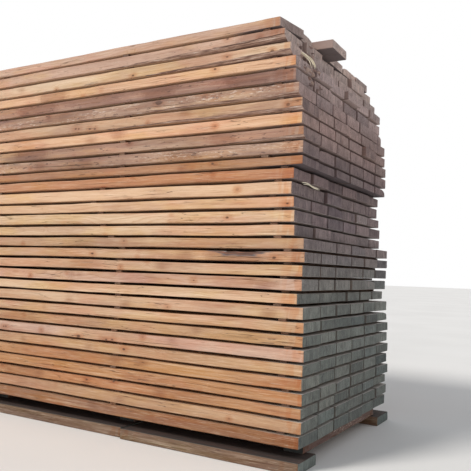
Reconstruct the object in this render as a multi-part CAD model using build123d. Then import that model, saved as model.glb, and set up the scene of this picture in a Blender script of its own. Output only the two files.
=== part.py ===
"""A drying stack of rough-sawn softwood boards.

Layers of boards lie on thin cross laths that let the air through. The whole stack stands on
cross bearers, and these stand on planks laid along the ground. Lengths are in millimetres.

The boards lie along X. The ragged end that people see is at +X, the long face at -Y and the
top at +Z. The origin is on the ground, under the middle of the stack's bounding box.
"""

from build123d import *
import os
import random

# Boards, all of one ordered size
board_length = 4000
board_width = 200
board_thickness = 50
boards_across = 6
board_gap = 6           # mean gap between neighbours in a layer
worn_edge = 2           # arris rubbed off along each long edge

# How far single boards differ from the ordered size
spare_length = 35       # boards are cut up to this much over, so that none is short
width_error = 3         # boards are up to this much narrower
end_skew = 3            # the end cut runs out of square by up to this much, each side of its middle
end_scatter = 8         # the ends behind the front board stand back by up to this much
side_play = 0.35        # how far a board lies off its place, as a share of the board gap

# Natural round edge of the log, left on some boards
log_radius = 170
wane_top = 34           # width lost from the board's face
wane_side = 21          # height lost from the board's edge
wane_run_out = 9        # by how much the wane narrows from one end of the board to the other

# Drying splits that start at the boards' ends
split_width = 4
split_length = 240

cut_over = 1.2          # cutters are this many times as long and as thick as the board

# Cross laths between the layers
lath_thickness = 12
lath_width = 40
lath_lines = 5
lath_inset = 90         # centre of the outermost laths, from the stack's end
lath_scatter = 16       # how far a lath lies off its line
lath_short = 24         # laths stop up to this much short of the long faces

# Base
bearer_width = 100
bearer_height = 50
bearer_inset = 120      # bearers stop this far short of the long faces
plank_width = 200
plank_thickness = 50
plank_proud = 26        # the ground planks stand this far out from under the long faces
plank_joint_gap = 12    # the front line is two planks,
plank_joint_lead = 74   # which meet this much before the middle of the second bearer,
plank_offset = 18       # and the far one lies this much further in than the near one

# The layers, from the bottom up. First how much thicker than ordered a layer was sawn, then
# how far the end of its front board stands back from the end of the stack.
layers = [
    (2, 10), (1, 4), (-6, 8), (1, 0), (0, 6), (-2, 2), (1, 1), (-3, 3),
    (-4, 5), (3, 9), (-4, 36), (1, 19), (-1, 16), (-4, 10), (-3, 12), (-2, 58),
    (3, 61), (-3, 68), (6, 82), (-2, 72), (-10, 32), (4, 32), (2, 29), (2, 39),
    (3, 41), (8, 57), (4, 76), (-4, 75), (4, 107), (5, 136), (-5, 145),
]

# Boards that stand out past their neighbours, as (layer, place in the layer counted from the
# front, by how much).
proud_boards = [
    (31, 2, 100), (30, 1, 22), (29, 1, 36), (28, 1, 24), (27, 1, 14), (30, 4, 31), (28, 3, 22),
    (24, 4, 17), (20, 1, 9), (19, 2, 13), (16, 1, 12), (12, 3, 16), (9, 4, 11),
]

# Boards whose near end was cut well out of square, as (layer, place, each side of its middle).
skewed_boards = [(31, 0, -15)]

# Boards narrower than ordered, as (layer, place, width lost). Those behind them lie as much
# further forward.
narrow_boards = [(31, 1, 54)]

# Boards with a round upper edge, as (layer, place, side). The side is -1 for the edge at the
# front of the board and 1 for the edge at its back.
waney_boards = [
    (22, 1, -1), (18, 2, 1), (30, 3, -1), (31, 1, 1), (12, 4, 1), (9, 5, 1), (21, 5, 1),
    (26, 5, 1), (4, 2, -1), (15, 3, 1), (31, 4, -1),
]

# Front boards whose lower front edge is round only near the end at +X, as (layer, how far it
# reaches, how much of the full round it has at the end from 0 to 1).
short_wanes = [(30, 1150, 1.0), (29, 950, 0.9), (26, 1600, 0.5), (25, 1300, 0.55), (23, 450, 0.6)]

# Boards whose end at +X is split, as (layer, place, where across the board from 0 to 1).
split_boards = [
    (31, 2, 0.45), (29, 1, 0.6), (27, 1, 0.35), (24, 2, 0.5), (19, 1, 0.3), (17, 3, 0.55),
    (14, 1, 0.7), (14, 0, 0.55), (11, 2, 0.4), (8, 1, 0.5), (5, 3, 0.65), (2, 1, 0.45),
]

# Boards with a piece torn off the upper front edge, as (layer, place, distance of the tear's
# middle from the board's end).
torn_boards = [(14, 0, 327)]
torn_length = 330
torn_depth = 9

# Laths laid off their line, as (layer on the lath, line, how much further from the end).
stray_laths = [
    (7, 2, -22), (16, 2, 78), (17, 2, 123), (18, 2, 150), (19, 2, 186), (20, 2, 140),
    (22, 1, 110), (25, 2, 60), (28, 2, 85), (11, 4, -70), (23, 4, 95),
]

# Where the draws for the uneven boards and laths start
board_seed = 31
lath_seed = 100

# Sizes that follow from those above
board_pitch = board_width + board_gap
stack_width = boards_across * board_pitch - board_gap
front_y = -stack_width / 2
base_height = plank_thickness + bearer_height
line_spacing = (board_length - 2 * lath_inset) / (lath_lines - 1)


def lay_out_boards():
    """Choose the end, length, place across and width of every board, layer by layer.

    Distances run from the stack's end at +X towards -X, and from its long face at -Y to +Y.
    """
    chance = random.Random(board_seed)
    play = board_gap * side_play
    rows = []
    for _, front_setback in layers:
        row = []
        for place in range(boards_across):
            scatter = 0 if place == 0 else chance.uniform(0, end_scatter)
            row.append({
                "setback": front_setback + scatter,
                "length": board_length + chance.uniform(0, spare_length),
                "near_skew": chance.uniform(-end_skew, end_skew),
                "far_skew": chance.uniform(-end_skew, end_skew),
                "across": place * board_pitch + chance.uniform(0, play),
                "width": board_width - chance.uniform(0, width_error),
            })
        rows.append(row)
    for level, place, stand_out in proud_boards:
        rows[level - 1][place]["setback"] -= stand_out
    for level, place, skew in skewed_boards:
        rows[level - 1][place]["near_skew"] = skew
    for level, place, lost in narrow_boards:
        rows[level - 1][place]["width"] -= lost
        for board in rows[level - 1][place + 1:]:
            board["across"] -= lost
    return rows


rows = lay_out_boards()
nearest_end = min(b["setback"] - abs(b["near_skew"]) for row in rows for b in row)
farthest_end = max(b["setback"] + b["length"] + abs(b["far_skew"]) for row in rows for b in row)
end_x = (farthest_end + nearest_end) / 2    # the stack's end, so that its box is centred on X


def layer_bottom(level):
    """Height of the underside of a layer above the ground, with the first layer as 0."""
    below = sum(board_thickness + error for error, _ in layers[:level])
    return base_height + below + level * lath_thickness


def layer_thickness(level):
    return board_thickness + layers[level][0]


def wane_cutter(thickness, length):
    """What the round of the log leaves off the upper front edge of a board, with the edge on X."""
    # The log's surface meets the top of the board and its side, so its axis is found from
    # the chord between these two lines.
    half_chord = (wane_top**2 + wane_side**2) ** 0.5 / 2
    to_axis = (log_radius**2 - half_chord**2) ** 0.5
    across = Vector(wane_side, -wane_top).normalized() * to_axis
    axis_y = wane_top / 2 + across.X
    axis_z = -wane_side / 2 + across.Y
    log = Pos(0, axis_y, axis_z) * Rot(0, 90, 0) * Cylinder(log_radius, length * cut_over**2)
    corner = Box(length * cut_over, wane_top * 2, thickness * cut_over)
    return corner - log


def side_wane_cutter(thickness, length, side):
    """A wane along a whole upper edge, at the board's front or at its back."""
    cutter = wane_cutter(thickness, length)
    if side > 0:
        cutter = cutter.mirror(Plane.XZ)
    return Rot(0, 0, side * Vector(length, wane_run_out).get_angle(Vector(1, 0))) * cutter


def short_wane_cutter(thickness, length, reach, share):
    """A wane on the lower front edge that starts at the board's end and runs out."""
    cutter = wane_cutter(thickness, length).mirror(Plane.XY)
    slope = Rot(0, 0, Vector(reach, share * wane_top).get_angle(Vector(1, 0)))
    return Pos(0, -(1 - share) * wane_top, 0) * slope * cutter


def split_cutter(thickness, end_offset):
    """A split that is open at the board's end and closes towards its middle."""
    half = split_width / 2
    wedge = Polygon((end_offset, -half), (end_offset, half), (-split_length, 0), align=None)
    return extrude(wedge, thickness * cut_over, both=True)


def tear_cutter(thickness):
    """A long shallow scoop off an edge that lies on X, with the board behind and below it."""
    radius = (torn_length**2 / 4 + torn_depth**2) / (2 * torn_depth)
    scoop = Pos(0, -(radius - torn_depth), 0) * Cylinder(radius, thickness)
    return Rot(-45, 0, 0) * scoop


def line_inset(line):
    """How far a line of laths, and the bearer under it, lies from the stack's end."""
    return lath_inset + line * line_spacing


def make_board(level, place):
    """One board of a layer, with its worn edges, its end cuts and its natural faults."""
    board = rows[level][place]
    thickness = layer_thickness(level)
    front = front_y + board["across"]
    back = front + board["width"]
    near = end_x - board["setback"]
    far = near - board["length"]
    outline = Polygon(
        (near + board["near_skew"], front), (near - board["near_skew"], back),
        (far - board["far_skew"], back), (far + board["far_skew"], front), align=None,
    )
    bottom = layer_bottom(level)
    solid = Pos(0, 0, bottom) * extrude(outline, thickness)
    long_edges = [e for e in solid.edges() if e.length > board["length"] / 2]
    solid = chamfer(long_edges, worn_edge)
    for waney_level, waney_place, side in waney_boards:
        if (waney_level, waney_place) == (level + 1, place):
            edge_y = front if side < 0 else back
            middle = Pos((near + far) / 2, edge_y, bottom + thickness)
            solid = solid - middle * side_wane_cutter(thickness, board["length"], side)
    for waney_level, reach, share in short_wanes:
        if (waney_level, 0) == (level + 1, place):
            edge = Pos(near, front, bottom)
            solid = solid - edge * short_wane_cutter(thickness, board["length"], reach, share)
    for split_level, split_place, share in split_boards:
        if (split_level, split_place) == (level + 1, place):
            start = Pos(near, front + share * board["width"], bottom + thickness / 2)
            solid = solid - start * split_cutter(thickness, end_skew * 2)
    for torn_level, torn_place, from_end in torn_boards:
        if (torn_level, torn_place) == (level + 1, place):
            edge = Pos(near - from_end, front, bottom + thickness)
            solid = solid - edge * tear_cutter(thickness)
    return solid


def make_lath_line(line):
    """The laths of one line, one in each gap between two layers."""
    chance = random.Random(lath_seed + line)
    laths = []
    for level in range(1, len(layers)):
        x = end_x - line_inset(line) + chance.uniform(-lath_scatter, lath_scatter)
        if line == 0:
            # The outer laths follow the ends of the layer that lies on them.
            x -= layers[level][1]
        for stray_level, stray_line, further in stray_laths:
            if (stray_level, stray_line) == (level + 1, line + 1):
                x -= further
        length = stack_width - 2 * chance.uniform(0, lath_short)
        z = layer_bottom(level) - lath_thickness / 2
        laths.append(Pos(x, 0, z) * Box(lath_width, length, lath_thickness))
    return laths


def make_bearer(line):
    """A cross bearer under one line of laths."""
    length = stack_width - 2 * bearer_inset
    beam = Box(bearer_width, length, bearer_height)
    beam = chamfer(beam.edges().filter_by(Axis.Y), worn_edge)
    return Pos(end_x - line_inset(line), 0, plank_thickness + bearer_height / 2) * beam


def make_ground_plank(start, end, outer_y, side):
    """A plank on the ground from one distance from the stack's end to another."""
    plank = Box(end - start, plank_width, plank_thickness)
    plank = chamfer(plank.edges().filter_by(Axis.X), worn_edge)
    x = end_x - (start + end) / 2
    return Pos(x, outer_y - side * plank_width / 2, plank_thickness / 2) * plank


def save(solids, name):
    """Write the solids of one node, which don't touch each other."""
    export_step(Compound(children=list(solids)), f"parts/{name}.step")


os.makedirs("parts", exist_ok=True)

for level in range(len(layers)):
    boards = [make_board(level, place).solid() for place in range(boards_across)]
    save(boards, f"board_layer_{level + 1:02d}")

for line in range(lath_lines):
    save([lath.solid() for lath in make_lath_line(line)], f"lath_line_{line + 1}")
    save([make_bearer(line).solid()], f"cross_bearer_{line + 1}")

outer_front = front_y - plank_proud
plank_joint = line_inset(1) - plank_joint_lead
near_plank_end = plank_joint - plank_joint_gap / 2
far_plank_start = plank_joint + plank_joint_gap / 2
near_plank = make_ground_plank(0, near_plank_end, outer_front, -1)
far_plank = make_ground_plank(far_plank_start, board_length, outer_front + plank_offset, -1)
back_plank = make_ground_plank(0, board_length, -outer_front, 1)
save([near_plank.solid()], "ground_plank_near")
save([far_plank.solid()], "ground_plank_far")
save([back_plank.solid()], "ground_plank_back")
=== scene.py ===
"""Looks of a drying stack of rough-sawn softwood boards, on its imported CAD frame.

Every board, lath, bearer and plank is modelled again at the place and size of its CAD solid,
with worn and waney edges, saw marks, splits and torn ends. All lengths are in metres.
"""

import math

import bmesh
import bpy
import numpy as np
from mathutils import Matrix, Vector


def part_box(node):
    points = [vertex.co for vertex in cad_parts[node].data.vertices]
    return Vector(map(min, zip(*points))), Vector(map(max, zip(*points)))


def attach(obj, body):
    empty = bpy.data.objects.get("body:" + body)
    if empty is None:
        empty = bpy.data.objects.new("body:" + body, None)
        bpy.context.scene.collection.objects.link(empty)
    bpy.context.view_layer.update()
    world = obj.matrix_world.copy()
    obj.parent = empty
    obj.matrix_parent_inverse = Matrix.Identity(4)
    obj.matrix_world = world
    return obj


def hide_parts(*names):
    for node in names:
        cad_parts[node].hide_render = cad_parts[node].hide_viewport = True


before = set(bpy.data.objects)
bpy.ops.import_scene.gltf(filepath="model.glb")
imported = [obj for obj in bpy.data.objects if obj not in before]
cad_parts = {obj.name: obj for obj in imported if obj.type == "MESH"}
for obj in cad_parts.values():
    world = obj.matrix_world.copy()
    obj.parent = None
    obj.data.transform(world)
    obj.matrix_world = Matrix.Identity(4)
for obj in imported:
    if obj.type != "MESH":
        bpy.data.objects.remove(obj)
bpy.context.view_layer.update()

# Camera, seen from the photograph
camera_distance = 2.487     # in front of the long face
camera_beyond_end = 1.098   # past the stack's ragged end
camera_above_boards = 0.745  # above the underside of the lowest layer
camera_azimuth = 30.3       # degrees, turned from straight at the long face
camera_pitch = 3.3
camera_roll = 1.98
camera_sensor = 36.0        # millimetres, as the lens
camera_lens = 48.07

touching = 0.003            # how close CAD surfaces are that lie on each other or in one plane

# Grid lines of the sawn pieces
edge_steps = (0.0, 0.0015, 0.005, 0.014)    # near an arris, from the arris in
wane_steps = (0.0, 0.0015, 0.005, 0.010, 0.015, 0.020, 0.025, 0.031, 0.038)    # near a wane
end_steps = (0.0, 0.0015, 0.005, 0.013, 0.026)
fine_grid = (0.04, 0.045, 0.02)     # between lines along, across and up a piece that shows
coarse_grid = (0.2, 0.09, 0.05)

# Unevenness of the sawn pieces
least_rounding = 0.0012     # radius of a worn arris
most_rounding = 0.006
face_wave = 0.0012          # how uneven the sawn faces are,
edge_wave = 0.0017          # and the narrow edges
end_wave = 0.0016           # and the end cuts
end_wave_reach = 0.03       # how far behind the end cut that goes
bow = 0.0015                # how far a board is bent sideways
cup = 0.0012                # how hollow or round the boards' faces have dried
outer_sag = 0.0018          # how far boards waver up and down between the laths,
inner_sag = 0.0022          # a little more so inside the stack
column_sag = 0.0075         # and how far all the boards above each other there have bowed
clear_of_lath = 0.022       # how near the middle of a lath the boards lie flat on it,
free_of_lath = 0.16         # and how far past that they waver freely
# Within that reach the hidden faces also take painted light on the broad faces and painted shade
# on the sides
soil_reach = 0.25           # how far dust and weather have greyed hidden faces behind the ends

# Natural round edge of the log
log_radius = 0.17
full_wane = (0.034, 0.021)  # width of the round on the broad face, and its height on the edge
wane_limits = (0.042, 0.036)    # no point further in than this is moved onto the round
wane_roughness = 0.0022     # how uneven the bare wood is there,
bark_roughness = 0.0042     # and the bark where some is left

# Tones of the wood
tones = {
    "rose": (0.78, 0.655, 0.58),
    "straw": (0.85, 0.70, 0.575),
    "peach": (0.81, 0.70, 0.585),
    "cream": (0.84, 0.71, 0.59),
    "tan": (0.77, 0.64, 0.525),
    "sand": (0.74, 0.61, 0.49),
    "rust": (0.68, 0.505, 0.375),
    "ginger": (0.725, 0.53, 0.40),
    "honey": (0.70, 0.52, 0.36),
    "weathered": (0.73, 0.605, 0.51),
    "old": (0.685, 0.54, 0.462),
    "umber": (0.57, 0.40, 0.265),
    "amber": (0.73, 0.59, 0.46),
    "corn": (0.81, 0.675, 0.555),
    "pale": (0.835, 0.73, 0.62),
    "olive": (0.385, 0.31, 0.22),
    "dark": (0.36, 0.265, 0.195),
    # Near white: freshly torn wood, and partly a painted highlight on torn strands in the shaded
    # end
    "fresh_torn_and_lit": (1.0, 0.955, 0.86),
    "mauve": (0.55, 0.47, 0.45),
    "chip": (0.74, 0.645, 0.60),
    "broken": (0.63, 0.53, 0.50),
}

# Weathered grey as linear colours: at the ground, then between which heights it turns to which.
# Darker up to about 1.3 m and paler above is painted shade on the lower part of the ends.
ground_grey = (0.190, 0.226, 0.215)
greys_and_shade_by_height = [
    (0.60, 1.15, (0.240, 0.194, 0.206)),
    (1.15, 1.28, (0.218, 0.176, 0.184)),
    (1.34, 1.52, (0.350, 0.258, 0.246)),
    (1.58, 1.80, (0.485, 0.388, 0.375)),
    (1.80, 1.95, (0.600, 0.480, 0.435)),
]
# Heights where painted shade darkens undersides that stand out, and where rain has fallen on the
# top
step_height = 1.324         # underside of the layer that stands out over those below it
top_underside = 1.955       # just below the highest layer
top_face = 1.975            # just above its laths, where only its top faces look up

# The tone of the front board of each layer and how weathered it is, from the top down
layer_looks = [
    ("rose", 0.3), ("rose", 0.4), ("pale", 0.2), ("straw", 0.15), ("old", 0.66),
    ("weathered", 0.71), ("tan", 0.3), ("straw", 0.05), ("weathered", 0.66), ("weathered", 0.71),
    ("rust", 0.4), ("ginger", 0.2), ("cream", 0.0), ("corn", 0.0), ("peach", 0.05),
    ("peach", 0.0), ("sand", 0.3), ("tan", 0.2), ("tan", 0.15), ("rose", 0.1),
    ("peach", 0.05), ("tan", 0.1), ("tan", 0.15), ("amber", 0.15), ("rose", 0.25),
    ("amber", 0.15), ("honey", 0.2), ("honey", 0.15), ("honey", 0.2), ("amber", 0.25),
    ("umber", 0.35),
]

# Looks of a board behind the front ones that the photograph shows, by layer and place across;
# its grey, darker look is partly weathering and partly painted shade
board_looks = {(31, 2): ("broken", 0.6)}

# Knots and stains that show on the front boards, by layer from the bottom: how far from the
# board's near end in millimetres, how high on it from 0 to 1, and the radius in millimetres,
# which is negative for a soft stain.
front_marks = {
    30: [(300, 0.90, 7), (120, 0.25, -60)],
    29: [(331, 0.55, 7), (900, 0.24, 8), (1736, 0.65, -20)],
    28: [(425, 0.78, 8), (1500, 0.5, -50)],
    27: [(758, 0.66, -50), (246, 0.89, -60), (95, 0.87, -30), (1620, 0.2, -70)],
    26: [(773, 0.73, 17), (606, 0.42, -30), (449, 0.56, 8), (427, 0.51, 8),
         (146, 0.87, -45), (1340, 0.40, -60)],
    25: [(1353, 0.41, 8), (1331, 0.37, 7), (1250, 0.24, 8), (1214, 0.19, 8), (627, 0.79, -25)],
    24: [(1050, 0.8, -30), (1240, 0.3, -25)],
    23: [(1700, 0.4, -60), (420, 0.6, -40)],
    22: [(1291, 0.39, -35), (1627, 0.53, -30), (1372, 0.37, -25), (640, 0.6, -50)],
    21: [(465, 0.69, 8), (640, 0.20, -24)],
    18: [(31, 0.33, 7)],
    17: [(341, 0.46, 8)],
    15: [(1003, 0.63, 6)],
    14: [(1219, 0.40, 9), (621, 0.20, -30), (38, 0.23, -20), (147, 0.39, 9),
         (283, 0.37, -40), (420, 0.39, -45)],
    13: [(753, 0.56, -25)],
    12: [(1348, 0.62, -22), (1298, 0.65, -20), (560, 0.49, 5), (244, 0.85, -22),
         (177, 0.39, -28), (134, 0.43, -20)],
    10: [(1372, 0.31, -20), (980, 0.23, -25), (166, 0.31, -26), (717, 0.25, 5)],
    9: [(1563, 0.58, -16)],
    8: [(1383, 0.64, -15), (550, 0.75, -22)],
    7: [(1882, 0.37, 7), (1864, 0.40, 7), (1297, 0.18, 11), (1105, 0.12, 8),
        (1065, 0.19, 8), (689, 0.69, -22)],
    6: [(982, 0.59, 9), (1216, 0.41, -20), (1714, 0.46, -18)],
    5: [(1030, 0.87, -30), (868, 0.77, -25)],
    3: [(1220, 0.65, 8), (1570, 0.63, -25), (1812, 0.41, -22), (1037, 0.95, 8), (748, 0.52, -24)],
    2: [(997, 0.44, -22)],
    1: [(1165, 0.64, -26)],
}
most_marks = 6

# Long cracks in the front boards, by layer: from where to where, as distance from the near end
# in millimetres and height on the board from 0 to 1, and how wide they gape.
front_cracks = {
    30: [(-10, 0.52, 560, 0.05, 4.0)],
    29: [(120, 0.16, 700, 0.10, 2.2)],
    26: [(560, 0.36, 900, 0.46, 2.6), (1500, 0.30, 1900, 0.36, 2.2)],
    22: [(1180, 0.30, 1720, 0.38, 2.8), (300, 0.72, 760, 0.66, 2.0)],
    20: [(900, 0.42, 1300, 0.46, 1.8)],
    14: [(140, 0.36, 480, 0.40, 3.0)],
    7: [(620, 0.30, 1010, 0.26, 2.0)],
    4: [(240, 0.55, 640, 0.60, 1.8)],
}

# Front boards whose lower front edge is round near the near end, by layer: how far it reaches
# in metres, and how much of the full round it has at the end
short_wanes = {
    30: (1.15, 1.0), 29: (0.95, 0.9), 26: (1.60, 0.5), 25: (1.30, 0.55), 23: (0.45, 0.6),
}

# A piece torn off a front board's upper edge, by layer: middle, length and depth in metres
front_tears = {14: (0.327, 0.340, 0.013)}

# Where wood has torn out at the ends, as (layer, place across): from where to where on the
# board's width in metres, and how many short shards and how many long strands
torn_ends = {
    (30, 0): (0.135, 0.190, 3, 0), (30, 1): (0.0, 0.06, 3, 0), (29, 0): (0.118, 0.165, 3, 6),
    (28, 0): (0.085, 0.190, 9, 0), (28, 1): (0.0, 0.05, 3, 0), (27, 0): (0.145, 0.190, 3, 0),
    (27, 1): (0.0, 0.06, 4, 0),
}

# A loose splinter in front of the gap above a layer, from one distance across to another
loose_splinter = (19, 0.10, 0.286)

# Where the random draws of the layers, the torn ends and the other pieces start
layer_seed, torn_seed, stick_seed = 500, 700, 900


def linear(colour):
    """A colour as seen on a screen, in the linear values that shaders use."""
    return tuple(c / 12.92 if c <= 0.04045 else ((c + 0.055) / 1.055) ** 2.4 for c in colour)


def close_to(distance, reach):
    """1 where distance is 0, less further off, and 0 from reach on."""
    return np.clip(1 - distance / reach, 0, 1)


class Wave:
    """A smooth random curve between -1 and 1, as a sum of a few sine waves."""

    def __init__(self, chance, shortest, longest, count=5):
        self.lengths = np.exp(chance.uniform(np.log(shortest), np.log(longest), count))
        self.phases = chance.uniform(0, 2 * np.pi, count)
        self.weights = self.lengths**0.5 / np.sum(self.lengths**0.5)

    def __call__(self, along, shift=0.0):
        angle = 2 * np.pi * (along[..., None] + np.asarray(shift)[..., None]) / self.lengths
        return np.sum(np.sin(angle + self.phases) * self.weights, axis=-1)


def spread(low_steps, size, step, high_steps):
    """Grid lines from 0 to size, close together near both ends."""
    inner = size - low_steps[-1] - high_steps[-1]
    count = max(int(round(inner / step)), 1)
    middle = low_steps[-1] + inner * np.arange(1, count) / count
    return np.concatenate([low_steps, middle, size - np.array(high_steps[::-1])])


def box_grid(u, v, w):
    """Points and quads on the surface of a box, with grid lines u along, v across and w up."""
    across, up = len(v) - 1, len(w) - 1
    ring = [(j, 0) for j in range(across)] + [(across, k) for k in range(up)]
    ring += [(j, up) for j in range(across, 0, -1)] + [(0, k) for k in range(up, 0, -1)]
    around = len(ring)
    points = np.empty((len(u), around, 3))
    points[..., 0] = u[:, None]
    points[..., 1] = v[[j for j, _ in ring]]
    points[..., 2] = w[[k for _, k in ring]]
    points = points.reshape(-1, 3)
    station = np.arange(len(u) - 1)[:, None] * around
    here = np.arange(around)[None, :]
    ahead = (here + 1) % around
    sides = np.stack([station + here, station + ahead,
                      station + around + ahead, station + around + here], axis=-1)
    quads = [sides.reshape(-1, 4)]
    for last in (False, True):
        first = (len(u) - 1) * around if last else 0
        index = np.full((across + 1, up + 1), -1)
        for m, (j, k) in enumerate(ring):
            index[j, k] = first + m
        inner = np.argwhere(index < 0)
        index[tuple(inner.T)] = len(points) + np.arange(len(inner))
        new = np.column_stack([np.full(len(inner), u[-1] if last else u[0]),
                               v[inner[:, 0]], w[inner[:, 1]]])
        points = np.vstack([points, new])
        cap = np.stack([index[:-1, :-1], index[:-1, 1:], index[1:, 1:], index[1:, :-1]], axis=-1)
        cap = cap.reshape(-1, 4)
        quads.append(cap[:, ::-1] if last else cap)
    return points, np.vstack(quads)


def wear(points, size, chance, wane, roughness):
    """Move the points of a sawn piece to where use, sawing and drying have left its surface.

    Every move goes into the wood, so that the piece stays within its sawn size.
    """
    length, width, thickness = size
    u, v, w = points.T.copy()
    # Unevenness of the broad faces, of the narrow edges and of the end cuts
    lengthwise = [Wave(chance, 0.12, 1.6) for _ in range(4)]
    crosswise = [Wave(chance, 0.03, 0.25) for _ in range(4)]
    share_w, share_v = w / thickness, v / width
    dip_top, dip_bottom = [face_wave * (1 + wave(u, 0.6 * v)) / 2 for wave in lengthwise[:2]]
    dip_front, dip_back = [
        edge_wave * (1 + long(u, 1.3 * w)) / 2 + 0.4 * edge_wave * (1 + short(u, 3 * w)) / 2
        for long, short in zip(lengthwise[2:], crosswise)]
    new_w = w + roughness * (dip_bottom * (1 - share_w) - dip_top * share_w)
    new_v = v + roughness * (dip_front * (1 - share_v) - dip_back * share_v)
    new_u = u.copy()
    for wave, distance, sign in ((crosswise[2], u, 1), (crosswise[3], length - u, -1)):
        depth = end_wave * roughness * (1 + wave(v * 1.7, 2.3 * w)) / 2
        new_u += sign * depth * close_to(distance, end_wave_reach)
    # Worn arrises: points near a long edge move onto an arc of changing radius
    for side, a in ((1, v), (-1, width - v)):
        for face, b in ((1, w), (-1, thickness - w)):
            share = np.clip(0.45 + 0.75 * Wave(chance, 0.05, 0.7, 6)(u), 0, 1)
            radius = least_rounding + (most_rounding - least_rounding) * share**2
            reach = np.hypot(radius - a, radius - b)
            outside = (a < radius) & (b < radius) & (reach > radius)
            pull = np.where(outside, 1 - radius / np.maximum(reach, 1e-9), 0)
            new_v += side * (radius - a) * pull
            new_w += face * (radius - b) * pull
    # The arrises round the end cuts
    for distance in (u, length - u):
        lean = close_to(distance, 0.004) ** 2 * least_rounding
        new_v += lean * (close_to(v, 0.01) - close_to(width - v, 0.01))
        new_w += lean * (close_to(w, 0.01) - close_to(thickness - w, 0.01))
    if wane is not None:
        side, top_near, top_far, drop = wane
        a = new_v if side < 0 else width - new_v
        top = top_near + (top_far - top_near) * u / length
        a, b, _ = cut_wane(u, a, thickness - new_w, top, drop, 0.0, wane_roughness, chance)
        new_v = a if side < 0 else width - a
        new_w = thickness - b
    return np.column_stack([new_u, new_v, new_w])


def cut_wane(u, a, b, top, drop, outwards, roughness, chance):
    """Draw the points that stick out of the round of the log onto its bark side.

    a and b are the distances from the edge along the board's broad and narrow face, and
    outwards is how far the log lies further out. Gives also how much each point moved.
    """
    rough = Wave(chance, 0.03, 0.5, 9)
    half_chord = np.hypot(top, drop) / 2
    to_axis = np.sqrt(log_radius**2 - half_chord**2)
    axis_a = top / 2 + drop / (2 * half_chord) * to_axis - outwards
    axis_b = drop / 2 + top / (2 * half_chord) * to_axis
    reach = np.hypot(axis_a - a, axis_b - b)
    bark = log_radius - roughness * (1 + rough(u, 2 * b))
    pull = np.where(reach > bark, 1 - bark / reach, 0)
    near_edge = (a < wane_limits[0]) & (b < wane_limits[1])
    pull = np.where((a < axis_a) & (b < axis_b) & near_edge, pull, 0)
    return a + (axis_a - a) * pull, b + (axis_b - b) * pull, reach * pull


def cut_short_wane(points, wane, chance):
    """Round a board's lower front edge near its near end, and mark the bark, as soil below 0."""
    reach, share = wane
    u, v, w = points.T
    outwards = full_wane[0] * (1 - share * (1 - u / reach))
    fade = np.clip(outwards / full_wane[0], 0, 1)
    new_v, new_w, moved = cut_wane(u, v, w, full_wane[0], full_wane[1], outwards,
                                   bark_roughness * (1 - 0.7 * fade), chance)
    return np.column_stack([u, new_v, new_w]), -np.clip(moved / 0.006, 0, 1)


def tear_edge(points, size, tear, chance):
    """Take a long shallow scoop off a board's upper front edge, and mark it, as soil up to 2."""
    middle, length, depth = tear
    u, v, w = points.T
    ragged = 1 + 0.25 * Wave(chance, 0.02, 0.12, 6)(u)
    deep = depth * ragged * np.clip(1 - (2 * (u - middle) / length) ** 2, 0, 1) * math.sqrt(2)
    short = np.clip(deep - (v + size[2] - w), 0, 1) / 2
    return np.column_stack([u, v + short, w - short]), 2 * np.clip(short / 0.001, 0, 1)


def nodes_called(prefix):
    return sorted(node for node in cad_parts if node.startswith(prefix))


def read_solids(node):
    """The corner points of each separate solid in a CAD node."""
    mesh = bmesh.new()
    mesh.from_mesh(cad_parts[node].data)
    bmesh.ops.remove_doubles(mesh, verts=mesh.verts, dist=1e-6)
    waiting = set(mesh.verts)
    solids = []
    while waiting:
        found = [waiting.pop()]
        island = []
        while found:
            vert = found.pop()
            island.append(vert.co[:])
            others = {edge.other_vert(vert) for edge in vert.link_edges} & waiting
            waiting -= others
            found += others
        solids.append(np.array(island))
    mesh.free()
    return solids


def read_board(corners):
    """A board's box, its ends, the wane on its edge and the split in its end, from its solid."""
    low, high = corners.min(0), corners.max(0)
    x, y, z = corners.T
    front, back = x[y < low[1] + touching], x[y > high[1] - touching]
    board = {"low": low, "high": high, "wane": None, "split": None,
             "ends": (front.max(), back.max(), front.min(), back.min())}
    from_top, middle = high[2] - z, (low[0] + high[0]) / 2
    on_top = from_top < 0.001
    for side, from_edge in ((-1, y - low[1]), (1, high[1] - y)):
        if np.min(from_edge + from_top) > 0.006:
            near, far = (np.min(from_edge[on_top & half]) for half in (x > middle, x < middle))
            board["wane"] = (side, near, far, np.min(from_top[from_edge < 0.001]))
    clear = 0.05    # of the long edges, where only a split has corners
    inner = (y > low[1] + clear) & (y < high[1] - clear)
    if np.any(inner):
        mouth = y[inner & (x > high[0] - 0.02)]
        board["split"] = (mouth.mean(), mouth.max() - mouth.min(), high[0] - x[inner].min())
    return board


def place_object(name, data):
    thing = bpy.data.objects.new(name, data)
    bpy.context.scene.collection.objects.link(thing)
    return thing


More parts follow.
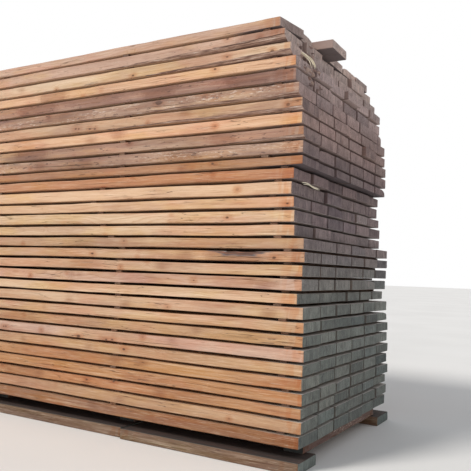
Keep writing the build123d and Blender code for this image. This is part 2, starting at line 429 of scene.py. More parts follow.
class Part:
    """Gathers sawn pieces into one mesh with the attributes that the wood materials read."""

    def __init__(self):
        self.points, self.quads, self.ends, self.tone = [], [], [], []
        self.values = {}
        self.count = 0

    def add(self, points, faces, end_faces, tone, values, soil=0.0):
        """Add points and faces, with the tone, how soiled it is and a vector for the rest.

        Soil is grey up to 1 and black at 2, which on the ground planks' tops is painted shade,
        and below 0 it is bark, down to -1.
        """
        self.points.append(points)
        self.quads += [tuple(i + self.count for i in face) for face in faces]
        self.ends += list(end_faces)
        colour = np.tile(linear(tone), (len(points), 1))
        self.tone.append(np.column_stack([colour, np.broadcast_to(soil, len(points))]))
        for label, value in values.items():
            self.values.setdefault(label, []).append(np.broadcast_to(value, (len(points), 3)))
        self.count += len(points)

    def replace(self, node, name, materials):
        """Make the piece, in the place of its CAD node."""
        mesh = bpy.data.meshes.new(name)
        mesh.from_pydata(np.vstack(self.points).tolist(), [], self.quads)
        for label, values in self.values.items():
            layer = mesh.attributes.new(label, "FLOAT_VECTOR", "POINT")
            layer.data.foreach_set("vector", np.vstack(values).astype(np.float32).ravel())
        tone = mesh.attributes.new("tone", "FLOAT_COLOR", "POINT")
        tone.data.foreach_set("color", np.vstack(self.tone).astype(np.float32).ravel())
        for material in materials:
            mesh.materials.append(material)
        mesh.polygons.foreach_set("material_index", np.array(self.ends, dtype=np.int32))
        mesh.shade_smooth()
        mesh.set_sharp_from_angle(angle=math.radians(38))
        mesh.update()
        piece = place_object(name, mesh)
        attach(piece, "root")
        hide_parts(node)


def add_cutter(name, points, faces):
    """An object with these points and faces, with every face turned outwards."""
    mesh = bpy.data.meshes.new(name)
    mesh.from_pydata([tuple(p) for p in points], [], faces)
    shape = bmesh.new()
    shape.from_mesh(mesh)
    bmesh.ops.recalc_face_normals(shape, faces=shape.faces)
    shape.to_mesh(mesh)
    shape.free()
    return place_object(name, mesh)


def prism(low, high):
    """Points and faces of a prism between two outlines of as many points each."""
    count = len(low)
    faces = [tuple(range(count))[::-1], tuple(range(count, 2 * count))]
    faces += [(i, (i + 1) % count, count + (i + 1) % count, count + i) for i in range(count)]
    return list(low) + list(high), faces


def split_wedge(size, across, mouth, depth):
    """A wedge that opens a drying split in a board's near end."""
    over = 0.01
    outline = [(-over, -mouth / 2), (-over, mouth / 2), (depth * 0.55, mouth * 0.16),
               (depth, 0), (depth * 0.5, -mouth * 0.3)]
    low = [(u, across + v, -over) for u, v in outline]
    high = [(u, across + v * 0.8, size[2] + over) for u, v in outline]
    return prism(low, high)


def crack_wedge(size, crack, chance):
    """A long thin wedge that opens a crack in a board's front edge."""
    start, start_height, end, end_height, gape = crack
    t = np.linspace(0, 1, 14)
    u = (start + (end - start) * t) / 1000
    w = (start_height + (end_height - start_height) * t) * size[2]
    w = w + 0.0022 * Wave(chance, 0.05, 0.3, 5)(u)
    half = gape / 2000 * np.sqrt(np.clip(1 - t, 0, 1) if start < 0 else np.sin(np.pi * t))
    half = np.maximum(half, 0.00015)
    outline = [(a, b - h) for a, b, h in zip(u, w, half)]
    outline += [(a, b + h) for a, b, h in zip(u[::-1], w[::-1], half[::-1])]
    middle = list(w) + list(w[::-1])
    outer = [(a, -0.004, b) for a, b in outline]
    inner = [(a, 0.032, 0.85 * c + 0.15 * b + 0.003) for (a, b), c in zip(outline, middle)]
    return prism(outer, inner)


def cut_away(points, quads, wedges):
    """Take wedges out of a board's mesh."""
    board = add_cutter("cut_board", points, quads.tolist())
    tools = []
    for wedge_points, wedge_faces in wedges:
        tools.append(add_cutter("wedge", wedge_points, wedge_faces))
        cut = board.modifiers.new("cut", "BOOLEAN")
        cut.operation = "DIFFERENCE"
        cut.solver = "EXACT"
        cut.object = tools[-1]
    result = board.evaluated_get(bpy.context.evaluated_depsgraph_get())
    done = result.to_mesh()
    new_points = np.array([vert.co[:] for vert in done.vertices])
    faces = [tuple(face.vertices) for face in done.polygons]
    result.to_mesh_clear()
    for thing in tools + [board]:
        bpy.data.objects.remove(thing)
    return new_points, faces


def faces_end(points, faces):
    """Which faces look along the board rather than across it, as 0 or 1."""
    first, second, third, last = (points[[face[i] for face in faces]] for i in (0, 1, 2, -1))
    normal = np.cross(second - first, third - first) + np.cross(third - first, last - first)
    return (np.abs(normal[:, 0]) > 0.7 * np.linalg.norm(normal, axis=1)).astype(int)


def mark_values(marks=(), thickness=0.0):
    """The attributes that tell the material where a board's knots and stains are."""
    rows = [(from_end / 1000, share * thickness, radius / 1000)
            for from_end, share, radius in marks]
    rows += [(-1.0, 0.0, 0.0)] * (most_marks - len(rows))
    return {f"mark_{number + 1}": np.array(row) for number, row in enumerate(rows)}


def waver(x, across, chance, laths, sag, downwards, column):
    """How far the points of a board lie above or below its place on the laths."""
    from_lath = np.min(np.abs(x[:, None] - np.array(laths)[None, :]), axis=1) - clear_of_lath
    free = np.clip(from_lath / free_of_lath, 0, 1)
    free = free * free * (3 - 2 * free)
    rise = sag * np.tanh(2.4 * Wave(chance, 0.9, 2.6, 3)(x))
    rise += cup * chance.uniform(-1, 1) * (2 * across**2 - 1)
    if downwards:
        rise = -np.abs(rise)
    held = (x > min(laths)) & (x < max(laths))
    return free * (rise + np.where(held, column, 0.0) * (0.8 + 0.2 * np.sin(7.0 * x)))


def saw_timber(part, low, high, along, chance, tone, weather, fine=True, fine_ends=True,
               roughness=1.0, painted_top_shade=0.0, wane=None, split=None, ends=None, hidden=None,
               rest=None, short_wane=None, tear=None, cracks=(), marks_seen=()):
    """Add one sawn piece that fills the box from low to high, with its length on axis along.

    Boards run from their near end at +X towards -X; laths and bearers run along +Y. Rest is
    how a board lies on its laths, as waver takes it.
    """
    length, width, thickness = size = (high - low)[[0, 1, 2] if along == "X" else [1, 0, 2]]
    step, cross_step, up_step = fine_grid if fine else coarse_grid
    arris = [s for s in edge_steps if s < thickness * 0.4]
    first = wane_steps if short_wane else arris
    u = spread(end_steps, length, step, end_steps)
    v = spread(first, width, cross_step, arris)
    w = spread([s for s in first if s < thickness * 0.6], thickness, up_step, arris)
    points, quads = box_grid(u, v, w)
    points = wear(points, size, chance, wane, roughness)
    shown = np.zeros(len(points))    # bark and torn wood, as the soil of Part.add
    if short_wane:
        points, shown = cut_short_wane(points, short_wane, chance)
    if tear:
        points, shown = tear_edge(points, size, tear, chance)
    bend = bow * chance.uniform(-1, 1) if along == "X" else 0.0
    faces = quads.tolist()
    wedges = [crack_wedge(size, crack, chance) for crack in cracks]
    if split is not None:
        wedges.append(split_wedge(size, split[0] - low[1], split[1], split[2]))
    if wedges:
        uncut, shown_uncut = points, shown
        points, faces = cut_away(points, quads, wedges)
        shown = np.zeros(len(points))
        if short_wane or tear:
            shown = shown_uncut[[np.argmin(((uncut - point) ** 2).sum(1)) for point in points]]
    end_faces = faces_end(points, faces) if fine_ends else [0] * len(faces)
    pith = np.array([chance.uniform(0, 40), chance.uniform(-0.3, 0.3) * width,
                     thickness * 0.5 + chance.choice([-1, 1]) * chance.uniform(0.02, 0.11)])
    grain = points + np.array([pith[0], -width / 2 - pith[1], -pith[2]])
    to_end, to_side, to_face = np.clip(np.minimum(points, size - points), 0, 10).T
    soil = np.zeros(len(points))
    if hidden is not None:
        soil = close_to(to_end, soil_reach) ** 0.7
        for side, depth in zip(hidden, (points[:, 1], width - points[:, 1])):
            if not side:
                soil = soil * np.clip((depth - 0.0012) / 0.006, 0, 1)
        soil = np.where(shown < 0, shown, np.maximum(soil, shown))
    # Painted shade under the stack: the ground planks' tops turn black from about a centimetre
    # behind the front edge
    if painted_top_shade:
        on_top = np.clip((points[:, 2] - thickness + 0.005) / 0.003, 0, 1)
        soil = painted_top_shade * on_top * np.clip((points[:, 1] - 0.004) / 0.010, 0, 1)
    marks = np.column_stack([np.hypot(to_side, to_face), to_end, np.full(len(points), weather)])
    values = {"grain_at": grain, "marks": marks, "on_board": points,
              **mark_values(marks_seen, thickness)}
    share = points[:, 0] / length
    aside = points[:, 1] + bend * (4 * share * (1 - share))
    if along == "X":
        near_x, far_x = high[0], low[0]
        if ends is not None:
            over = np.clip(aside / width, 0, 1)
            near_x = ends[0] + (ends[1] - ends[0]) * over
            far_x = ends[2] + (ends[3] - ends[2]) * over
        placed = np.column_stack([near_x + (far_x - near_x) * share, low[1] + aside,
                                  low[2] + points[:, 2]])
        if rest is not None:
            across = 2 * (placed[:, 1] - low[1]) / width - 1
            placed[:, 2] += waver(placed[:, 0], across, chance, *rest)
    else:
        placed = low + np.column_stack([aside, points[:, 0], points[:, 2]])
    part.add(placed, [tuple(face)[::-1] for face in faces], end_faces, tone, values, soil)


def add_strip(part, line, wide, thick, turn, tone):
    """A thin strip of torn wood along a line of points, pointed at both ends."""
    steps = np.linspace(0, 1, len(line))
    taper = 0.25 + 0.75 * np.sin(np.pi * (0.10 + 0.84 * steps)) ** 0.7
    taper[-1] = 0.12
    ahead = np.gradient(line, axis=0)
    ahead /= np.linalg.norm(ahead, axis=1, keepdims=True)
    points, faces = [], []
    for number, (middle, way, size) in enumerate(zip(line, ahead, taper)):
        side = np.cross(way, (math.cos(turn), math.sin(turn), 0.3))
        side /= np.linalg.norm(side)
        up = np.cross(side, way)
        for a, b in ((-1, -1), (1, -1), (1, 1), (-1, 1)):
            points.append(middle + size * (a * wide / 2 * side + b * thick / 2 * up))
        if number:
            first = 4 * (number - 1)
            faces += [(first + k, first + (k + 1) % 4, first + 4 + (k + 1) % 4, first + 4 + k)
                      for k in range(4)]
    last = len(points) - 4
    faces += [(3, 2, 1, 0), (last, last + 1, last + 2, last + 3)]
    points = np.array(points)
    far_from_edges, freshly_torn = (0.02, 1.0), -1.0
    values = {"grain_at": points + (line[0][1] * 7, 0, 0), "on_board": points * (0, 0, 1),
              "marks": np.array((*far_from_edges, freshly_torn)), **mark_values()}
    part.add(points, faces, [0] * len(faces), tone, values)


def add_torn_wood(part, board, torn, chance):
    """Short shards that stand out of a board's near end, and long strands that droop from it."""
    low, high = board["low"], board["high"].copy()
    high[0] = min(board["ends"][:2])
    start, end, shards, strands = torn
    steps = np.linspace(0, 1, 8)[:, None]
    for _ in range(shards):
        root = np.array([high[0] - 0.012, low[1] + chance.uniform(start, end),
                         chance.uniform(low[2] + 0.005, high[2] - 0.004)])
        out = chance.uniform((0.016, -0.004, -0.008), (0.030, 0.010, 0.002))
        tone = tones[("chip", "broken", "mauve")[chance.integers(3)]]
        add_strip(part, root + steps * out, chance.uniform(0.010, 0.026),
                  chance.uniform(0.004, 0.010), chance.uniform(0, 0.5), tone)
    for _ in range(strands):
        root = np.array([high[0] - 0.006, low[1] + chance.uniform(start, end),
                         high[2] - chance.uniform(0.002, 0.014)])
        out = np.array([chance.uniform(0.046, 0.056), 0.0, 0.0])
        line = root + np.sin(steps * 1.6) * out
        line[:, 1] += chance.uniform(0.028, 0.044) * steps[:, 0]
        line[:, 1] += 0.004 * np.sin(6 * steps[:, 0] + chance.uniform(0, 6))
        line[:, 2] -= chance.uniform(0.062, 0.078) * steps[:, 0] ** 1.2
        add_strip(part, line, chance.uniform(0.008, 0.012), 0.0030, chance.uniform(0, 0.6),
                  tones["fresh_torn_and_lit"])


def add_loose_splinter(part, board, start, end):
    """A long pale splinter that lies across the ends, over the gap above a layer."""
    steps = np.linspace(0, 1, 16)
    across = board["low"][1] + start + (end - start) * steps
    up = board["high"][2] + 0.006 + 0.004 * np.sin(5.2 * steps)
    out = board["high"][0] + 0.006 + 0.003 * np.sin(8 * steps)
    for shift, size in ((0.0, 0.005), (0.006, 0.0035)):
        line = np.column_stack([out + shift / 3, across + 2 * shift, up - shift])
        add_strip(part, line, size, 0.0025, 0.2, tones["fresh_torn_and_lit"])


class Tree:
    """Shorthand for building the nodes of a material or of the world."""

    def __init__(self, owner, output):
        self.owner = owner
        owner.use_nodes = True
        self.nodes, self.links = owner.node_tree.nodes, owner.node_tree.links
        self.nodes.clear()
        self.output = self.node(output)

    def put(self, socket, value):
        """Link an output to a socket, or set a plain value on it."""
        if isinstance(value, bpy.types.NodeSocket):
            self.links.new(value, socket)
        elif value is not None:
            socket.default_value = value

    def node(self, kind, *values, **settings):
        """A new node with these settings, and these values for its first inputs."""
        node = self.nodes.new("ShaderNode" + kind)
        for name, setting in settings.items():
            setattr(node, name, setting)
        for socket, value in zip(node.inputs, values):
            self.put(socket, value)
        return node

    def math(self, operation, a, b=None, c=None, clamp=False):
        return self.node("Math", a, b, c, operation=operation, use_clamp=clamp).outputs[0]

    def times(self, a, b, clamp=False):
        return self.math("MULTIPLY", a, b, clamp=clamp)

    def attribute(self, name, output="Vector"):
        return self.node("Attribute", attribute_name=name).outputs[output]

    def apart(self, a, b):
        return self.math("ABSOLUTE", self.math("SUBTRACT", a, b))

    def distance(self, a, b):
        """How far off a place is that lies a and b off in two directions."""
        return self.math("SQRT", self.math("MULTIPLY_ADD", a, a, self.times(b, b)))

    def separate(self, vector):
        return self.node("SeparateXYZ", vector).outputs

    def combine(self, x, y=0.0, z=0.0):
        return self.node("CombineXYZ", x, y, z).outputs[0]

    def height(self):
        """Height above the ground, as all pieces have their origin there."""
        return self.separate(self.node("TexCoord").outputs["Object"])[2]

    def noise(self, vector, scale, detail=2.0, roughness=0.5, output="Fac"):
        return self.node("TexNoise", vector, None, scale, detail, roughness).outputs[output]

    def drawn_out(self, place, scale, detail=2.0, roughness=0.5, shift=(0, 0, 0), output="Fac"):
        """Noise that changes this often in a metre along the grain, across it and up."""
        vector = self.node("Mapping", place, shift, None, scale).outputs[0]
        return self.noise(vector, 1.0, detail, roughness, output)

    def between(self, value, low, high, to_low=0.0, to_high=1.0):
        """Map value from low..high to to_low..to_high and stop there."""
        return self.node("MapRange", value, low, high, to_low, to_high,
                         interpolation_type="SMOOTHSTEP").outputs[0]

    def line(self, noise, width):
        """1 on the lines where a noise is 0.5, and 0 where it is width away from that."""
        return self.between(self.apart(noise, 0.5), 0.0, width, 1.0, 0.0)

    def mix(self, factor, a, b, blend="MIX"):
        node = self.node("Mix", data_type="RGBA", blend_type=blend)
        self.put(node.inputs["Factor"], factor)
        for socket, value in zip((s for s in node.inputs if s.type == "RGBA"), (a, b)):
            self.put(socket, (*value, 1.0) if isinstance(value, tuple) else value)
        return next(s for s in node.outputs if s.type == "RGBA")

    def tint(self, factor, colour, tint):
        return self.mix(factor, colour, tint, "MULTIPLY")

    def coats(self, colour, *rows):
        """Tint a colour, or mix another one in where a row ends with "MIX".

        A row has a value, from and to which, how much there at most, and the colour of the coat.
        """
        for value, low, high, most, coat, *blend in rows:
            factor = self.between(value, low, high, 0.0, most)
            colour = self.mix(factor, colour, coat, *(blend or ["MULTIPLY"]))
        return colour

    def fill(self, inputs, **values):
        """Put values in the inputs of these names, with _ for a space."""
        for name, value in values.items():
            self.put(inputs[name.replace("_", " ")], value)

    def bump(self, height, distance, strength):
        node = self.node("Bump")
        self.fill(node.inputs, Strength=strength, Distance=distance, Height=height)
        return node.outputs[0]


def new_material(name):
    """The node tree of a new material and the inputs of its shader."""
    t = Tree(bpy.data.materials.new(name), "OutputMaterial")
    shader = t.node("BsdfPrincipled")
    t.put(t.output.inputs["Surface"], shader.outputs[0])
    return t, shader.inputs


def growth_rings(t, place, spacing):
    """How dark the late wood of a year's ring is, 0 to 1, the knots, and how far out it is."""
    x, y, z = t.separate(place)
    _, wy, wz = t.separate(t.drawn_out(place, (1.1, 2.5, 2.5), 3.0, output="Color"))
    y, z = (t.math("ADD", a, t.math("MULTIPLY_ADD", wander, 0.05, -0.025))
            for a, wander in ((y, wy), (z, wz)))
    per_metre = 7.0
    knots = t.node("TexVoronoi", t.combine(t.times(x, 0.8), y, z), None, per_metre).outputs
    knot_distance = t.math("DIVIDE", knots["Distance"], per_metre)
    radius = t.math("ADD", t.distance(y, z), t.between(knot_distance, 0.01, 0.045, 0.012, 0.0))
    phase = t.math("FRACT", t.math("DIVIDE", radius, spacing))
    late = t.times(t.math("POWER", phase, 2.2), t.between(phase, 0.93, 1.0, 1.0, 0.0))
    return late, knot_distance, knots["Color"], radius


def aged_grey_and_shade(t, height):
    """Weathered grey: mauve higher up, greenish with damp near the ground, and darker below about
    1.3 m than above, which is painted shade.
    """
    rows = [(height, low, high, 1.0, grey, "MIX") for low, high, grey in greys_and_shade_by_height]
    return t.coats(ground_grey, *rows)


def add_front_marks(t, colour):
    """The knots and stains that show on the front boards."""
    on_board = t.attribute("on_board")
    bx, by, bz = t.separate(on_board)
    ragged = t.math("MULTIPLY_ADD", t.noise(on_board, 70.0, 3.0, 0.6), 0.9, 0.55)
    most = 0.0, 0.0, 0.0
    for number in range(most_marks):
        along, up, radius = t.separate(t.attribute(f"mark_{number + 1}"))
        du = t.times(t.math("SUBTRACT", bx, along), 0.6)
        away = t.distance(du, t.math("SUBTRACT", bz, up))
        away = t.times(t.math("MULTIPLY_ADD", by, 0.3, away), ragged)
        knot = t.math("GREATER_THAN", radius, 0.0001)
        from_knot = t.math("SUBTRACT", away, t.times(radius, 0.82))
        stain = t.math("LESS_THAN", radius, -0.0001)
        from_stain = t.math("ADD", t.times(away, 0.6), radius)
        found = (t.times(knot, t.between(from_knot, -0.004, 0.001, 1.0, 0.0)),
                 t.times(knot, t.between(from_knot, 0.0, 0.022, 1.0, 0.0)),
                 t.times(stain, t.between(from_stain, -0.025, 0.0, 1.0, 0.0)))
        most = [t.math("MAXIMUM", a, b) for a, b in zip(most, found)]
    hearts, halos, stains = most
    colour = t.tint(t.times(halos, 0.5), colour, (0.74, 0.48, 0.34))
    colour = t.mix(t.times(hearts, 0.82), colour, (0.060, 0.027, 0.016))
    return t.tint(t.times(stains, 0.55), colour, (0.52, 0.36, 0.30))


def add_weather(t, colour, place, weather):
    """Weathered boards: grey-mauve streaks, dull patches, pale scrapes and dark flecks."""
    grey = t.drawn_out(place, (2.0, 28, 28), 5.0, 0.65, (3, 1, 5))
    grey = t.times(t.between(grey, 0.34, 0.62), weather, clamp=True)
    colour = t.mix(t.times(grey, 0.72), colour, (0.270, 0.178, 0.150))
    patches = t.drawn_out(place, (1.6, 9, 9), shift=(4, 4, 8))
    patch = t.times(t.between(patches, 0.44, 0.60), t.between(weather, 0.45, 0.7, 0.0, 0.62))
    colour = t.tint(patch, colour, (0.60, 0.55, 0.60))
    scrapes = t.drawn_out(place, (34, 150, 150), 4.0, 0.7, (1, 6, 3))
    scrape = t.times(t.between(scrapes, 0.52, 0.66), t.between(weather, 0.67, 0.72, 0.0, 0.66))
    scrape = t.times(scrape, t.between(patches, 0.56, 0.44))
    colour = t.mix(scrape, colour, (0.68, 0.58, 0.50))
    flecks = t.drawn_out(place, (20, 85, 85), 4.0, 0.7, (7, 2, 1))
    fleck = t.times(t.between(flecks, 0.585, 0.67), t.between(weather, 0.1, 0.8, 0.0, 0.8))
    return t.mix(fleck, colour, (0.085, 0.050, 0.042))


def make_long_grain():
    """Sawn faces and edges, with the grain running along the board."""
    t, shader = new_material("long_grain")
    place = t.attribute("grain_at")
    tone = t.attribute("tone", "Color")
    soil_or_bark = t.attribute("tone", "Alpha")
    soil = t.math("MAXIMUM", soil_or_bark, 0.0)
    bark = t.math("MAXIMUM", t.times(soil_or_bark, -1.0), 0.0)
    arris, to_end, weather = t.separate(t.attribute("marks"))
    from_front = t.separate(t.attribute("on_board"))[1]
    late, knot_distance, knot_colour, _ = growth_rings(t, place, 0.0042)
    # The wood turns rosy, yellow or grey-mauve in broad patches. Soft bands, streaks, thin
    # fibres and pores are all drawn out along the board.
    drift = t.drawn_out(place, (2.1, 7, 7), 3.0, 0.55, output="Color")
    rosy, yellow, dusky = t.separate(drift)
    bands = t.drawn_out(place, (1.1, 34, 34), 3.0, 0.6)
    streaks = t.drawn_out(place, (3.2, 120, 120), 4.0, 0.7, (5, 0, 2))
    fibres = t.drawn_out(place, (11, 430, 430), 3.0, 0.65)
    colour = t.coats(
        tone,
        (rosy, 0.46, 0.64, 0.70, (0.99, 0.82, 0.79)),
        (yellow, 0.48, 0.64, 0.70, (0.99, 0.95, 0.72)),
        (dusky, 0.50, 0.68, 0.55, (0.72, 0.64, 0.68)),
        (late, 0.0, 1.0, 0.40, (0.66, 0.47, 0.33)),
        (bands, 0.42, 0.68, 0.55, (0.80, 0.68, 0.58)),
        (bands, 0.44, 0.28, 0.20, (0.86, 0.70, 0.52), "MIX"),
        (streaks, 0.54, 0.72, 0.72, (0.56, 0.39, 0.30)),
        (fibres, 0.5, 0.72, 0.30, (0.90, 0.74, 0.58), "MIX"),
        (fibres, 0.46, 0.3, 0.40, (0.62, 0.46, 0.36)),
    )
    # Drying checks: short thin dark lines along the grain
    check_at = t.drawn_out(place, (2.6, 55, 55), shift=(9, 4, 0))
    check_where = t.drawn_out(place, (3.5, 22, 22), 1.0, shift=(2, 8, 8))
    check = t.times(t.line(check_at, 0.010), t.between(check_where, 0.52, 0.60))
    colour = t.mix(t.times(check, 0.75), colour, (0.060, 0.026, 0.014))
    # Knots, each with its own size and darkness and a stained ring round it
    pick, strength, _ = t.separate(knot_colour)
    from_knot = t.math("SUBTRACT", knot_distance, t.math("MULTIPLY_ADD", pick, 0.0085, 0.0025))
    heart = t.times(t.between(from_knot, -0.003, 0.0015, 1.0, 0.0),
                    t.between(strength, 0.0, 0.8, 0.2, 0.8))
    colour = t.coats(colour, (from_knot, 0.020, 0.0, 0.62, (0.76, 0.50, 0.34)))
    colour = t.mix(heart, colour, (0.105, 0.045, 0.022))
    colour = add_front_marks(t, colour)
    colour = add_weather(t, colour, place, weather)
    # Worn, dirty arrises, stained bands across the last few centimetres, and saw marks
    rub = t.drawn_out(place, (22, 60, 60), 4.0, 0.7, (1, 9, 4))
    from_arris = t.math("MULTIPLY_ADD", rub, 0.008, arris)
    colour = t.coats(colour, (from_arris, 0.009, 0.004, 0.32, (0.55, 0.38, 0.27)))
    x, _, z = t.separate(place)
    bands_at = t.combine(t.math("MULTIPLY_ADD", z, 0.15, x), t.times(z, 0.2))
    end_band = t.times(t.between(t.noise(bands_at, 30.0), 0.44, 0.56),
                       t.between(to_end, 0.0, 0.15, 0.7, 0.0))
    colour = t.tint(end_band, colour, (0.93, 0.68, 0.50))
    saw = t.noise(t.combine(t.math("MULTIPLY_ADD", z, 0.35, x)), 170.0)
    colour = t.coats(colour, (saw, 0.42, 0.6, 0.07, (0.78, 0.70, 0.62)))
    # The broad faces lie inside the stack, where the wood has stayed pale; that paler colour is
    # also painted light in the gaps between layers. Rain has fallen on the top of the highest
    # layer
    height = t.height()
    upwards = t.separate(t.node("NewGeometry").outputs["Normal"])[2]
    level = t.math("ABSOLUTE", upwards)
    rained = t.times(t.between(upwards, 0.5, 0.9),
                     t.between(height, top_face - 0.005, top_face + 0.005))
    pale_inside_and_gap_light = t.times(t.between(from_front, 0.004, 0.012), t.between(level, 0.5, 0.9))
    pale_inside_and_gap_light = t.math("SUBTRACT", pale_inside_and_gap_light, rained, clamp=True)
    colour = t.mix(t.times(pale_inside_and_gap_light, 0.45), colour, (0.80, 0.60, 0.42))
    washed = t.mix(t.between(bands, 0.35, 0.65), (0.150, 0.125, 0.115), (0.400, 0.330, 0.290))
    colour = t.mix(t.times(rained, 0.62), colour, washed)
    # Behind the ends, the faces that lie inside the stack are as grey as the ends. The broad
    # faces lower down are paler, painted light in the gaps between layers, and the side faces
    # darker, painted shade in the seams; where a board stands out over those below, its underside
    # is dark, painted shade.
    grey = aged_grey_and_shade(t, height)
    soiled_grey_light_and_shade = t.mix(t.between(height, 1.15, 1.30), t.mix(0.6, grey, (0.60, 0.56, 0.54)), grey)
    broad = t.times(t.between(level, 0.8, 0.95), t.between(height, 0.06, 0.09))
    soiled_grey_light_and_shade = t.mix(broad, t.tint(1.0, grey, (0.58, 0.54, 0.54)), soiled_grey_light_and_shade)
    soiled = t.times(soil, t.between(streaks, 0.2, 0.6, 1.0, 0.86), clamp=True)
    colour = t.mix(soiled, colour, soiled_grey_light_and_shade)
    # Painted shade: dark undersides, near the ends, where a board stands out over those below
    overhang_shade = t.math("MAXIMUM", t.between(height, top_underside - 0.010, top_underside),
                        t.between(t.apart(height, step_height), 0.008, 0.011, 1.0, 0.0))
    overhang_shade = t.times(overhang_shade, t.between(upwards, -0.5, -0.9))
    overhang_shade = t.times(overhang_shade, t.between(to_end, 0.15, 0.30, 0.85, 0.0))
    colour = t.mix(overhang_shade, colour, (0.110, 0.090, 0.096))
    # Bark left on the round edges: brown, with pale bits, and dark further in and along its
    # border, which is painted shade. Then black on the ground planks' tops, painted shade under
    # the stack, and the dark wood of a tear, and last freshly torn wood, which has a weather of
    # -1 and keeps its near-white tone, partly a painted highlight.
    shreds = t.drawn_out(place, (9, 150, 150), 4.0, 0.7, (3, 3, 9))
    bark_and_painted_shade = t.coats(
        (0.215, 0.126, 0.098),
        (shreds, 0.38, 0.58, 1.0, (0.560, 0.388, 0.305), "MIX"),
        (shreds, 0.58, 0.64, 1.0, (0.80, 0.70, 0.62), "MIX"),
        (from_front, 0.014, 0.034, 0.85, (0.060, 0.036, 0.032), "MIX"),
        (bark, 0.40, 0.12, 0.65, (0.075, 0.042, 0.034), "MIX"),
    )
    plank_shade_and_tear_dark = t.mix(t.between(shreds, 0.45, 0.62), (0.13, 0.085, 0.075), (0.40, 0.22, 0.17))
    plank_shade_and_tear_dark = t.mix(1.0, t.tint(1.0, tone, plank_shade_and_tear_dark), (0.030, 0.031, 0.033), "ADD")
    colour = t.coats(
        colour,
        (bark, 0.0, 0.12, 1.0, bark_and_painted_shade, "MIX"),
        (soil, 1.05, 1.6, 1.0, plank_shade_and_tear_dark, "MIX"),
        (weather, -0.5, -0.9, 0.92, tone, "MIX"),
    )
    relief = t.math("MULTIPLY_ADD", fibres, 0.6, t.times(late, 0.5))
    for form, share in ((saw, 0.8), (heart, -0.7), (check, -2.0)):
        relief = t.math("MULTIPLY_ADD", form, share, relief)
    t.fill(shader, Base_Color=colour, Roughness=t.between(fibres, 0.3, 0.7, 0.72, 0.92),
           Specular_IOR_Level=0.22, Normal=t.bump(relief, 0.0012, 0.55))
    return t.owner


def make_end_grain():
    """Board ends: rings as arcs, drying checks from the heart, grey with dirt and weather."""
    t, shader = new_material("end_grain")
    place = t.attribute("grain_at")
    weather = t.separate(t.attribute("marks"))[2]
    late, _, _, radius = growth_rings(t, place, 0.0050)
    x, y, z = t.separate(place)
    fuzz = t.noise(place, 900.0, 3.0, 0.7)
    blotch = t.drawn_out(place, (6, 17, 17), 5.0, 0.6)
    streak = t.drawn_out(place, (1, 95, 9), 4.0, 0.65)
    # Boards lie up to 40 m apart in the grain's own space, so each has its own value of this
    board = t.noise(t.combine(t.math("SNAP", x, 3.0)), 3.7, 0.0)
    colour = t.coats(
        t.mix(0.08, aged_grey_and_shade(t, t.height()), t.attribute("tone", "Color")),
        # Above a weather of 1.1, which only the bearers have, the end grain turns near black:
        # painted shade under the stack
        (weather, 1.1, 1.4, 0.8, (0.016, 0.015, 0.015), "MIX"),
        (late, 0.0, 1.0, 0.42, (0.60, 0.54, 0.52)),
        (blotch, 0.42, 0.66, 0.55, (0.60, 0.58, 0.60)),
        (streak, 0.53, 0.70, 0.60, (1.70, 1.60, 1.55)),
        (streak, 0.47, 0.32, 0.65, (0.55, 0.52, 0.54)),
        (fuzz, 0.55, 0.75, 0.30, (1.60, 1.50, 1.45)),
        (board, 0.45, 0.60, 0.75, (1.35, 1.30, 1.28)),
        (board, 0.45, 0.32, 0.75, (0.66, 0.64, 0.66)),
    )
    # Checks run from the heart outwards
    turned = t.combine(t.times(t.math("ARCTAN2", z, y), 9.0), t.times(radius, 9.0))
    check = t.line(t.noise(turned, 1.6, 3.0, 0.6), 0.018)
    colour = t.mix(t.times(check, 0.6), colour, (0.035, 0.028, 0.026))
    relief = t.math("MULTIPLY_ADD", fuzz, 0.5, t.times(late, 0.5))
    relief = t.math("SUBTRACT", relief, check)
    t.fill(shader, Base_Color=colour, Roughness=0.9, Specular_IOR_Level=0.15,
           Normal=t.bump(relief, 0.0015, 0.7))
    return t.owner


def add_floor():
    """A pale studio floor that takes the stack's shadow."""
    t, shader = new_material("studio_floor")
    cloud = t.between(t.noise(t.node("TexCoord").outputs["Object"], 0.7, 3.0), 0.3, 0.7)
    colour = t.mix(cloud, (0.76, 0.75, 0.74), (0.80, 0.79, 0.78))
    t.fill(shader, Base_Color=colour, Roughness=0.85)
    mesh = bpy.data.meshes.new("floor")
    shape = bmesh.new()
    bmesh.ops.create_circle(shape, cap_ends=True, segments=96, radius=60)
    shape.to_mesh(mesh)
    shape.free()
    mesh.materials.append(t.owner)
    place_object("floor", mesh)


def add_camera():
    """Stand where the photographer stood."""
    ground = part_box("ground_plank_near")
    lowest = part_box("board_layer_01")
    place = Vector((
        ground[1].x + camera_beyond_end,
        lowest[0].y - camera_distance,
        lowest[0].z + camera_above_boards,
    ))
    turn = (Matrix.Rotation(math.radians(camera_azimuth), 4, "Z")
            @ Matrix.Rotation(math.radians(90 + camera_pitch), 4, "X")
            @ Matrix.Rotation(math.radians(camera_roll), 4, "Z"))
    data = bpy.data.cameras.new("camera")
    data.sensor_width = camera_sensor
    data.lens = camera_lens
    data.clip_end = 200
    camera = place_object("camera", data)
    camera.matrix_world = Matrix.Translation(place) @ turn
    bpy.context.scene.camera = camera


def add_lamp(name, kind, energy, colour, towards):
    lamp = place_object(name, bpy.data.lights.new(name, kind))
    lamp.data.energy = energy
    lamp.data.color = colour
    lamp.rotation_mode = "QUATERNION"
    lamp.rotation_quaternion = Vector(towards).to_track_quat("-Z", "Y")
    return lamp


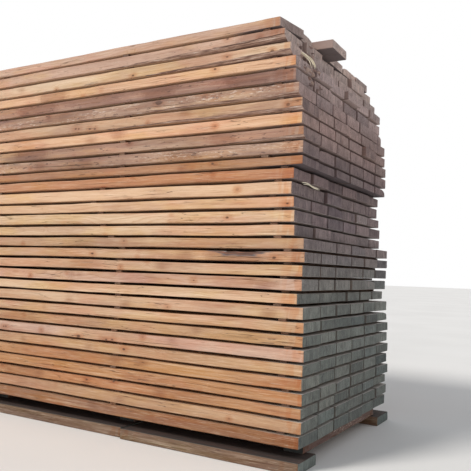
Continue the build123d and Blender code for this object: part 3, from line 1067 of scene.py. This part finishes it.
def add_lights():
    """A soft key lamp and a low wide fill on the long face's side, in an even pale surround."""
    fill = add_lamp("fill", "AREA", 36, (1.0, 0.98, 0.95), (-0.4, 4.4, 1.15))
    fill.location = (0.9, -5.0, 0.35)
    fill.data.shape = "RECTANGLE"
    fill.data.size, fill.data.size_y = 5.0, 0.6
    fill.visible_camera = False
    key = add_lamp("key", "SUN", 2.27, (1.0, 0.965, 0.91), (0.36, 0.64, -0.68))
    key.data.angle = math.radians(16)
    world = bpy.data.worlds.new("surround")
    bpy.context.scene.world = world
    t = Tree(world, "OutputWorld")
    light = t.node("Background", (0.93, 0.96, 1.0, 1.0), 0.52)
    backdrop = t.node("Background", (1.0, 1.0, 1.0, 1.0), 1.0)
    path = t.node("LightPath").outputs
    seen = t.math("MAXIMUM", path["Is Camera Ray"],
                  t.math("MAXIMUM", path["Is Glossy Ray"], path["Is Transmission Ray"]))
    either = t.node("MixShader", seen, light.outputs[0], backdrop.outputs[0])
    t.put(t.output.inputs["Surface"], either.outputs[0])


def dress_layers(materials):
    """Model every board again, layer by layer, from the bottom up."""
    layer_nodes = nodes_called("board_layer_")
    laths = [corners for node in nodes_called("lath_line_") for corners in read_solids(node)]
    names = list(tones)
    for below, node in enumerate(layer_nodes):
        layer = below + 1
        highest = layer == len(layer_nodes)
        chance = np.random.default_rng(layer_seed + below)
        boards = [read_board(corners) for corners in read_solids(node)]
        boards.sort(key=lambda board: board["low"][1])
        part = Part()
        tone_name, weather = layer_looks[-layer]
        low_z, high_z = boards[0]["low"][2], boards[0]["high"][2]
        near_laths = [c[:, 0].mean() for c in laths if abs(c[:, 2].max() - low_z) < touching
                      or abs(c[:, 2].min() - high_z) < touching]
        fade = min((len(layer_nodes) - layer) / 6, 1)
        for place, board in enumerate(boards):
            front, outer = place == 0, place in (0, len(boards) - 1)
            if front:
                tone, dull = tones[tone_name], weather
            else:
                pick = tone_name if chance.uniform() < 0.5 else names[chance.integers(len(names))]
                tone, dull = tones[pick], min(weather + chance.uniform(-0.1, 0.4), 1)
            if (layer, place) in board_looks:
                tone_seen, dull = board_looks[(layer, place)]
                tone = tones[tone_seen]
            seen = dict(
                short_wane=short_wanes.get(layer), tear=front_tears.get(layer),
                cracks=front_cracks.get(layer, ()), marks_seen=front_marks.get(layer, ()),
            ) if front else {}
            column = 0 if outer else column_sag * fade * (-1) ** place
            saw_timber(part, along="X", chance=chance, tone=tone, weather=max(dull, 0),
                       fine=outer or highest, hidden=(not front, place != len(boards) - 1),
                       rest=(near_laths, outer_sag if front else inner_sag, highest, column),
                       **board, **seen)
            if (layer, place) in torn_ends:
                torn_chance = np.random.default_rng(torn_seed + 10 * below + place)
                add_torn_wood(part, board, torn_ends[(layer, place)], torn_chance)
            if (layer, place) == (loose_splinter[0], 0):
                add_loose_splinter(part, board, *loose_splinter[1:])
        part.replace(node, node.replace("board_", "sawn_"), materials)


def dress_sticks(materials, prefix, name, tone, weather, along, roughness):
    """Model the laths, bearers or planks again, each at the place of its solid."""
    fine = prefix != "lath_line_"
    for number, node in enumerate(nodes_called(prefix)):
        chance = np.random.default_rng(stick_seed + number + 50 * len(prefix))
        part = Part()
        for corners in sorted(read_solids(node), key=lambda c: c[:, 2].min()):
            shade = 1 + chance.uniform(-0.12, 0.08)
            colour = tuple(c * shade for c in tones[tone])
            saw_timber(part, corners.min(0), corners.max(0), along, chance, colour, weather,
                       fine=fine, fine_ends=fine, roughness=roughness,
                       painted_top_shade=2.0 if prefix == "ground_plank_" else 0.0)
        part.replace(node, node.replace(prefix, name), materials)


add_camera()
add_lights()
add_floor()
wood = [make_long_grain(), make_end_grain()]
dress_layers(wood)
dress_sticks(wood, "lath_line_", "sticker_line_", "dark", 0.55, "Y", 0.6)
# The bearers' weather of 1.5 paints their end grain near black, as shade under the stack
dress_sticks(wood, "cross_bearer_", "bearer_", "dark", 1.5, "Y", 1.5)
dress_sticks(wood, "ground_plank_", "plank_", "olive", 0.45, "X", 1.5)

bpy.context.scene.view_settings.view_transform = "Standard"
bpy.context.view_layer.update()
